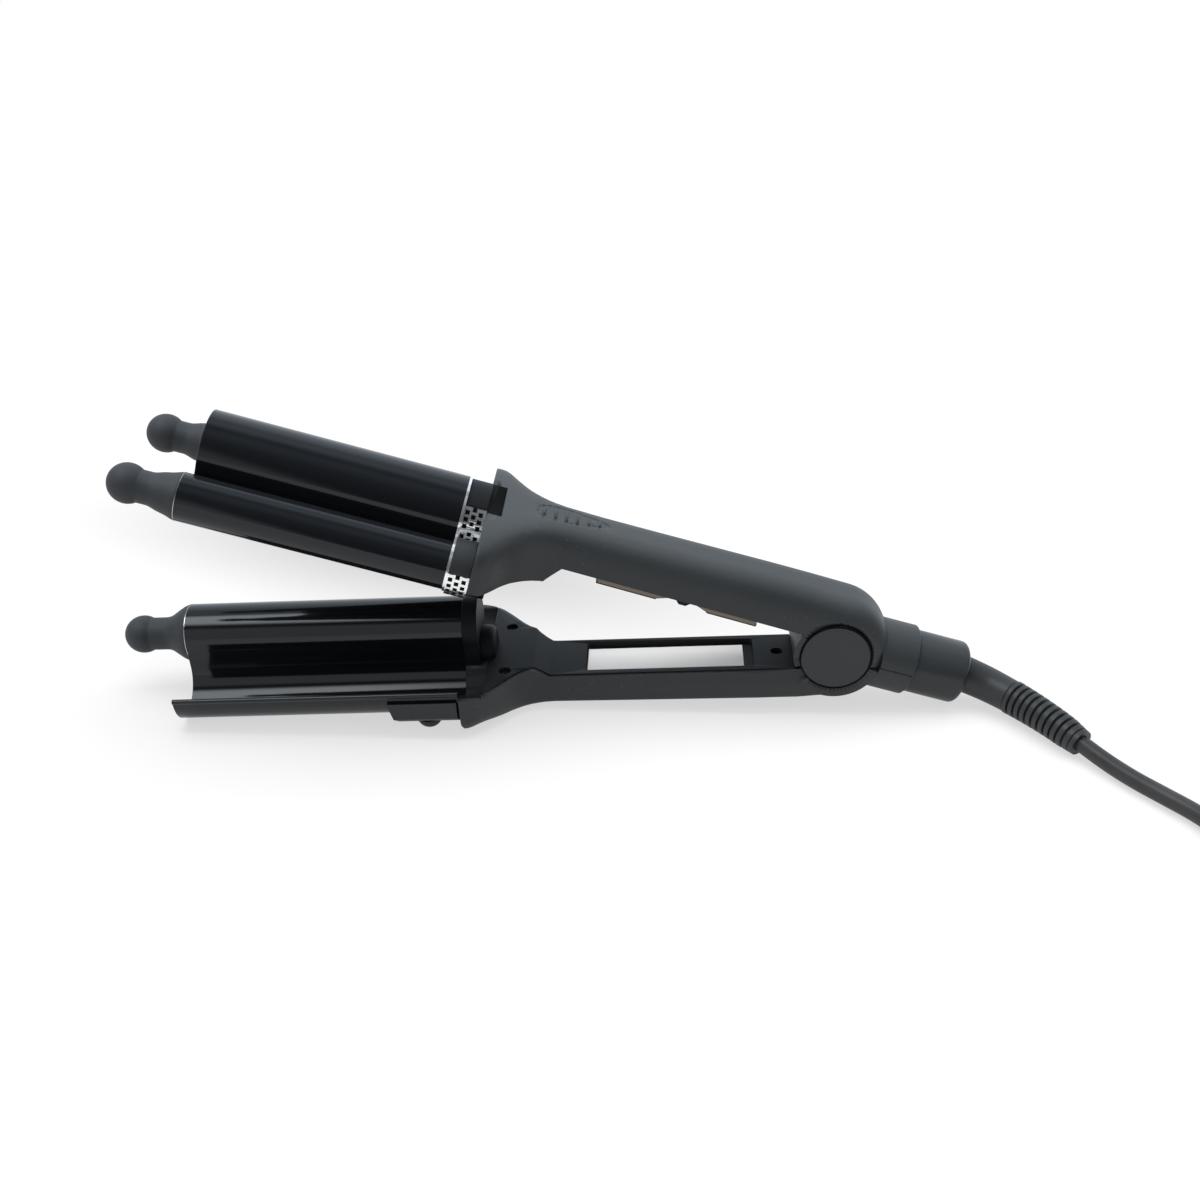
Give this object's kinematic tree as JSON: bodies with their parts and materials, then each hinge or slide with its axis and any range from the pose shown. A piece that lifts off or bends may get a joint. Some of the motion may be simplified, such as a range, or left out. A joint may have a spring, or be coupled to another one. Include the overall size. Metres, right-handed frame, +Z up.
{
  "type": "hair waver",
  "caption": "Hair waver with a hinged jaw of parallel barrels that press hair into deep waves, ball tips, sprung keys inside the handle and a swivel cord.",
  "frame": {"origin": "on the table, midway along and across the object without its cord", "axes": "X along the arms from the ball tips to the cord, Y across the jaw (the barrels lie side by side in Y), Z up from the table; the hinge axis is Y"},
  "size_m": [0.5166, 0.1819, 0.1129],
  "materials": {
    "handle_soft_touch": "soft-touch satin",
    "cover_plastic": "moulded, fine texture",
    "jaw_coating": "glossy black ceramic-type coating on aluminium",
    "chrome_trim": "bright chrome",
    "saddle_plastic": "heat-resistant matt black",
    "tip_rubber": "matt rubber",
    "ceramic": "ceramic heater body",
    "bronze_key": "bronze metallic paint",
    "pod_black": "black",
    "lens": "red lens",
    "board": "laminate",
    "steel": "plain steel",
    "label_white": "white film without text",
    "cord_pvc": "black flexible sheath",
    "tie_fabric": "black strap",
    "plug_plastic": "black moulded",
    "pin_brass": "nickel-plated brass"
  },
  "bodies": {
    "cord_end": {"swivel_body": "handle_soft_touch", "strain_relief": "cord_pvc", "cord_lead": "cord_pvc", "cord_coil": "cord_pvc", "cord_tail": "cord_pvc", "cord_tie": "tie_fabric", "plug_body": "plug_plastic", "plug_pins": "pin_brass"},
    "upper_arm": {"upper_handle_shell": "handle_soft_touch", "upper_inner_cover": "cover_plastic", "upper_wave_plate": "jaw_coating", "upper_trim_ring": "chrome_trim", "upper_collar": "chrome_trim", "collar_saddle_arch": "saddle_plastic", "collar_saddle_front": "saddle_plastic", "collar_saddle_rear": "saddle_plastic", "upper_tip_front": "tip_rubber", "upper_tip_rear": "tip_rubber", "upper_heater_front": "ceramic", "upper_heater_rear": "ceramic", "control_pod": "pod_black", "indicator_lens": "lens", "circuit_board": "board", "upper_cover_screws": "steel", "thumb_grip": "handle_soft_touch", "hinge_pin": "steel", "opening_spring": "steel", "swivel_collar": "handle_soft_touch"},
    "lower_arm": {"lower_handle_shell": "handle_soft_touch", "lower_inner_cover": "cover_plastic", "lower_wave_plate": "jaw_coating", "lower_tip": "tip_rubber", "lower_flange": "saddle_plastic", "lower_barrel_boss": "saddle_plastic", "lower_heater": "ceramic", "jaw_rest_bracket": "saddle_plastic", "rating_label": "label_white", "lower_cover_screws": "steel", "hinge_cap_front": "handle_soft_touch", "hinge_cap_rear": "handle_soft_touch"},
    "power_button": {"power_key": "bronze_key"},
    "temperature_button": {"temperature_key": "bronze_key"}
  },
  "joints": [
    {"name": "cord_swivel", "type": "hinge", "parent": "cord_end", "child": "upper_arm", "pos_m": [0.1322, 0, 0.01798], "axis": [0.9644, 0, -0.2644], "continuous": true},
    {"name": "jaw_hinge", "type": "hinge", "parent": "upper_arm", "child": "lower_arm", "pos_m": [0.10825, 0, 0.02517], "axis": [0, 1, 0], "range_deg": [0, 18.4], "stiffness_Nm_per_rad": 0.8, "springref_deg": -34.38},
    {"name": "power_key_press", "type": "slide", "parent": "upper_arm", "child": "power_button", "axis": [0.2644, 0, 0.9644], "range_m": [0, 0.001], "stiffness_N_per_m": 700},
    {"name": "temperature_key_press", "type": "slide", "parent": "upper_arm", "child": "temperature_button", "axis": [0.2644, 0, 0.9644], "range_m": [0, 0.001], "stiffness_N_per_m": 700}
  ]
}
